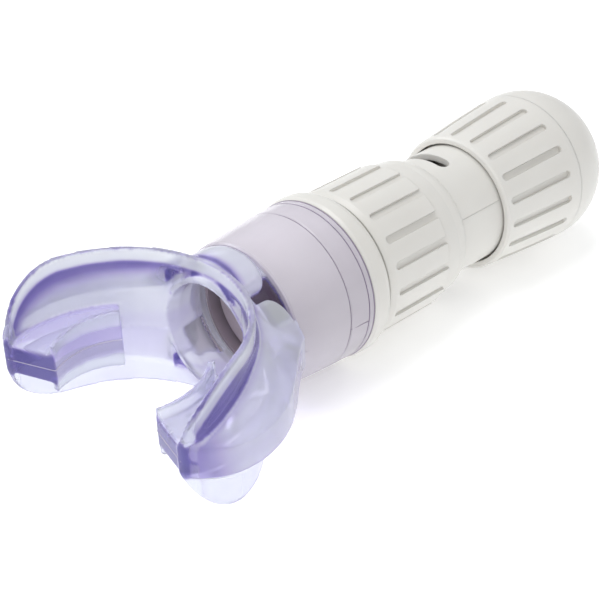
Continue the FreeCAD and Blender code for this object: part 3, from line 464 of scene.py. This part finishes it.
def petal(build, middle, half, x0, x1, radius, bulge):
    """Add a petal of the trunk: a crowned pad round the bite part's axis with a round end."""
    rows, columns, thick = 18, 28, 1.6
    round_from, smallest = 0.45, 0.02
    grids = []
    for under in (False, True):
        grid = []
        for row in range(rows + 1):
            along = row / rows
            end = max(0.0, (along - round_from) / (1.0 - round_from))
            close = math.sqrt(max(0.0, 1.0 - end ** 2.4))
            line = []
            for column in range(columns + 1):
                across = 2.0 * column / columns - 1.0
                crown = bulge * math.sqrt(max(0.0, 1.0 - across ** 4)) * (0.35 + 0.65 * close)
                turn = math.radians(middle + across * half * max(close, smallest))
                r = radius - thick if under else radius + crown
                place = bite_point(x0 + (x1 - x0) * along, r * math.cos(turn), r * math.sin(turn))
                line.append(build.verts.new(place))
            grid.append(line)
        grids.append(grid)
    over, lower = grids

    def face(corners, flip):
        build.faces.new(corners[::-1] if flip else corners)

    for row in range(rows):
        for column in range(columns):
            corners = ((row, column), (row + 1, column), (row + 1, column + 1), (row, column + 1))
            face([over[a][b] for a, b in corners], False)
            face([lower[a][b] for a, b in corners], True)
        for column, flip in ((0, False), (columns, True)):
            face([over[row][column], lower[row][column], lower[row + 1][column],
                  over[row + 1][column]], flip)
    for column in range(columns):
        for row, flip in ((0, True), (rows, False)):
            face([over[row][column], lower[row][column], lower[row][column + 1],
                  over[row][column + 1]], flip)


VOXEL = 0.42
EVENING_PASSES = 6


def smooth_mouthpiece():
    """A copy of the mouthpiece with its petals and the soft edges and even flow of a moulding,
    standing for the CAD node."""
    build = bmesh.new()
    build.from_mesh(nodes["mouthpiece"].data)
    for middle in (90.0, 270.0):
        petal(build, middle, half=38.0, x0=42.3, x1=51.0, radius=18.6, bulge=1.8)
    for middle in (0.0, 180.0):
        petal(build, middle, half=44.0, x0=38.8, x1=50.2, radius=20.8, bulge=1.6)
    joined = bpy.data.meshes.new("bite_moulding_rough")
    build.to_mesh(joined)
    build.free()
    moulding = bpy.data.objects.new("bite_moulding", joined)
    scene.collection.objects.link(moulding)
    remesh = moulding.modifiers.new("remesh", "REMESH")
    remesh.mode = "VOXEL"
    remesh.voxel_size = VOXEL * MM
    remesh.use_smooth_shade = True
    even = moulding.modifiers.new("even", "SMOOTH")
    even.factor = 0.5
    even.iterations = EVENING_PASSES
    ready = moulding.evaluated_get(bpy.context.evaluated_depsgraph_get())
    mesh = bpy.data.meshes.new_from_object(ready)
    moulding.modifiers.clear()
    moulding.data = mesh
    mesh.materials.clear()
    mesh.shade_smooth()
    store_depth(mesh)
    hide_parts("mouthpiece")
    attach(moulding, "mouthpiece")


# Pieces that the scene adds to the CAD: moulded lines, dark lines of painted shade and round
# spring wire.

def round_curve(name, points, radius):
    """An object with a round tube of a radius in millimetres along points of the frame."""
    curve = bpy.data.curves.new(name, "CURVE")
    curve.dimensions = "3D"
    curve.bevel_depth = radius * MM
    curve.bevel_resolution = 2
    curve.use_fill_caps = True
    spline = curve.splines.new("POLY")
    spline.points.add(len(points) - 1)
    for knot, place in zip(spline.points, points):
        knot.co = (*place, 1.0)
    tube = bpy.data.objects.new(name, curve)
    scene.collection.objects.link(tube)
    return tube


def moulded_line(name, points, radius, body, material):
    """A fine raised line as a thin tube along the surface: a line that the mould leaves, or, in
    the shade material, a dark line of painted shade.
    """
    line = round_curve(name, points, radius)
    line.data.materials.append(material)
    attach(line, body)


def add_lines(milky, white, shade):
    """The parting lines on the bite slabs and the barrel, and dark violet lines of painted shade
    on the sleeve.
    """
    arc_x, arc_y, arc_r, arc_from, arc_to = 12.34, 2.30, 17.67, 116.5, 49.0
    front_x, front_y, arc_steps, front_steps = 4.4, 18.1, 24, 8
    for side, hand in ((1, "left"), (-1, "right")):
        front = [bite_point(front_x * step / front_steps,
                            side * (SLAB_TIP_Y + (front_y - SLAB_TIP_Y) * step / front_steps), 0.0)
                 for step in range(front_steps)]
        arc = []
        for step in range(arc_steps + 1):
            turn = math.radians(arc_from + (arc_to - arc_from) * step / arc_steps)
            arc.append(bite_point(arc_x + arc_r * math.cos(turn),
                                  side * (arc_y + arc_r * math.sin(turn)), 0.0))
        moulded_line("slab_line_" + hand, front + arc, 0.11, "mouthpiece", milky)
    # Painted shade: dark violet hoops round the sleeve near its rear end.
    hoops = ((75.95, 21.86, 0.16), (74.4, 21.66, 0.13), (67.9, 21.36, 0.08))
    for number, (x, radius, thick) in enumerate(hoops):
        hoop = [axis_point(x, radius, step * 5.0) for step in range(73)]
        moulded_line("housing_shade_hoop_%d" % number, hoop, thick, "body", shade)
    # Painted shade: a dark violet line along the sleeve's side.
    slope = [axis_point(51.0 + step, 20.33 + 0.068 * step, 186.0) for step in range(24)]
    moulded_line("housing_shade_line", slope, 0.07, "body", shade)
    straight = [axis_point(x, 17.0, 156.0) for x in (117.6, 122.0, 128.0, 133.4)]
    moulded_line("barrel_line", straight, 0.09, "body", white)


def coil_stretch(name, node, ends, radius, wire, turns, share, material):
    """A stretch of a compression spring, as round wire, along the trainer's axis. Share says
    which part of the spring's length it covers."""
    first, last = ends[0] + wire / 2, ends[1] - wire / 2
    steps = 240
    points = []
    for step in range(steps + 1):
        along = share[0] + (share[1] - share[0]) * step / steps
        turn = 2 * math.pi * turns * along
        points.append(Vector((first + (last - first) * along, radius * math.sin(turn),
                              AXIS_HEIGHT - radius * math.cos(turn))) * MM)
    path = round_curve(name + "_path", points, wire / 2)
    ready = path.evaluated_get(bpy.context.evaluated_depsgraph_get())
    mesh = bpy.data.meshes.new_from_object(ready)
    bpy.data.objects.remove(path)
    mesh.materials.clear()
    mesh.materials.append(material)
    mesh.shade_smooth()
    coil = bpy.data.objects.new(name, mesh)
    scene.collection.objects.link(coil)
    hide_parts(node)
    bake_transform(coil)


def add_springs(steel):
    """Both valve springs, each in two stretches, because both of a spring's ends can move."""
    for node, ends, radius, wire, turns, split, bodies in (
            ("exhale_spring", (-26.46, 7.80), 13.9, 1.1, 6.0, 0.34,
             ("exhale_valve", "body", "exhale_spring_carrier")),
            ("inhale_spring", (23.05, 53.85), 4.6, 0.9, 8.0, 0.36,
             ("body", "inhale_valve", "inhale_spring_cap"))):
        for stretch, share, pair in (("_front", (0.0, split), bodies[:2]),
                                     ("_rear", (split, 1.0), bodies[1:])):
            coil_stretch(node + stretch, node, ends, radius, wire, turns, share, steel)


WHITE_LOW, WHITE_HIGH, WHITE_ROUGHNESS = (0.74, 0.72, 0.68), (0.79, 0.775, 0.735), 0.36


def dress():
    """Give each CAD node the material of its slot in the record."""
    white = moulded("white_plastic", WHITE_LOW, WHITE_HIGH, WHITE_ROUGHNESS)
    finishes = {
        "clear_violet_plastic": clear_violet("clear_violet_plastic"),
        "clear_milky_plastic": clear_milky("clear_milky_plastic"),
        "white_plastic": white,
        "grey_plastic": moulded("grey_plastic", (0.42, 0.36, 0.38), (0.47, 0.41, 0.43), 0.42),
        "silicone_rubber": soft_rubber("silicone_rubber", (0.50, 0.46, 0.46),
                                       (0.58, 0.54, 0.54)),
        "spring_steel": wire_steel("spring_steel"),
    }
    bpy.data.objects["bite_moulding"].data.materials.append(finishes["clear_violet_plastic"])
    # The valve body's bore gets the painted shade.
    bore_shaded = {"valve_body": moulded("white_body_bore_shade", WHITE_LOW, WHITE_HIGH,
                                       WHITE_ROUGHNESS, bore=17.3)}
    slots = {part["node"]: part["material_slot"] for part in frame["record"]["subparts"]}
    for name, obj in nodes.items():
        obj.data.materials.clear()
        obj.data.materials.append(bore_shaded.get(name, finishes[slots[name]]))
    shade = moulded("violet_shade", (0.24, 0.19, 0.28), (0.30, 0.24, 0.34), 0.4)
    add_lines(finishes["clear_milky_plastic"], white, shade)
    add_springs(finishes["spring_steel"])


# Floor, world and studio lights.

def stage():
    mesh = bpy.data.meshes.new("floor")
    half = 1.6
    mesh.from_pydata([(-half, -half, 0), (half, -half, 0), (half, half, 0), (-half, half, 0)], [],
                     [(0, 1, 2, 3)])
    floor = bpy.data.objects.new("floor", mesh)
    scene.collection.objects.link(floor)
    maker = Maker("floor_paper")
    grain = maker.noise(60.0, detail=2.0)
    maker.join(maker.ramp(grain, "Fac", (0.93, 0.93, 0.93), (0.95, 0.95, 0.95)), "Color",
               maker.shader, "Base Color")
    maker.shader.inputs["Roughness"].default_value = 0.95
    maker.shader.inputs["Specular IOR Level"].default_value = 0.1
    maker.shader.inputs["Emission Color"].default_value = (1.0, 1.0, 1.0, 1.0)
    maker.shader.inputs["Emission Strength"].default_value = 0.3
    mesh.materials.append(maker.material)


def soft_light(name, place, target, size, power, color=(1.0, 1.0, 1.0)):
    data = bpy.data.lights.new(name, "AREA")
    data.shape = "RECTANGLE"
    data.size, data.size_y = size
    data.energy = power
    data.color = color
    light = bpy.data.objects.new(name, data)
    light.location = Vector(place)
    light.rotation_euler = (Vector(target) - Vector(place)).to_track_quat("-Z", "Y").to_euler()
    scene.collection.objects.link(light)


def light_up():
    world = bpy.data.worlds.new("studio")
    world.use_nodes = True
    back = world.node_tree.nodes["Background"]
    back.inputs["Color"].default_value = (0.97, 0.985, 1.0, 1.0)
    back.inputs["Strength"].default_value = 0.62
    scene.world = world
    soft_light("overhead", (-0.05, 0.15, 0.9), (0.0, 0.0, 0.02), size=(0.7, 0.5), power=3.2)
    soft_light("far_side", (-0.35, 0.75, 0.55), (0.0, 0.0, 0.02), size=(0.5, 0.35), power=2.0,
               color=(0.93, 0.97, 1.0))
    soft_light("near_side", (-0.75, -0.35, 0.45), (-0.05, 0.0, 0.02), size=(0.4, 0.4), power=0.7)
    scene.view_settings.view_transform = "Standard"
    scene.view_settings.look = "None"
    scene.view_settings.exposure = 0.0


place_camera()
smooth_mouthpiece()
dress()
stage()
light_up()
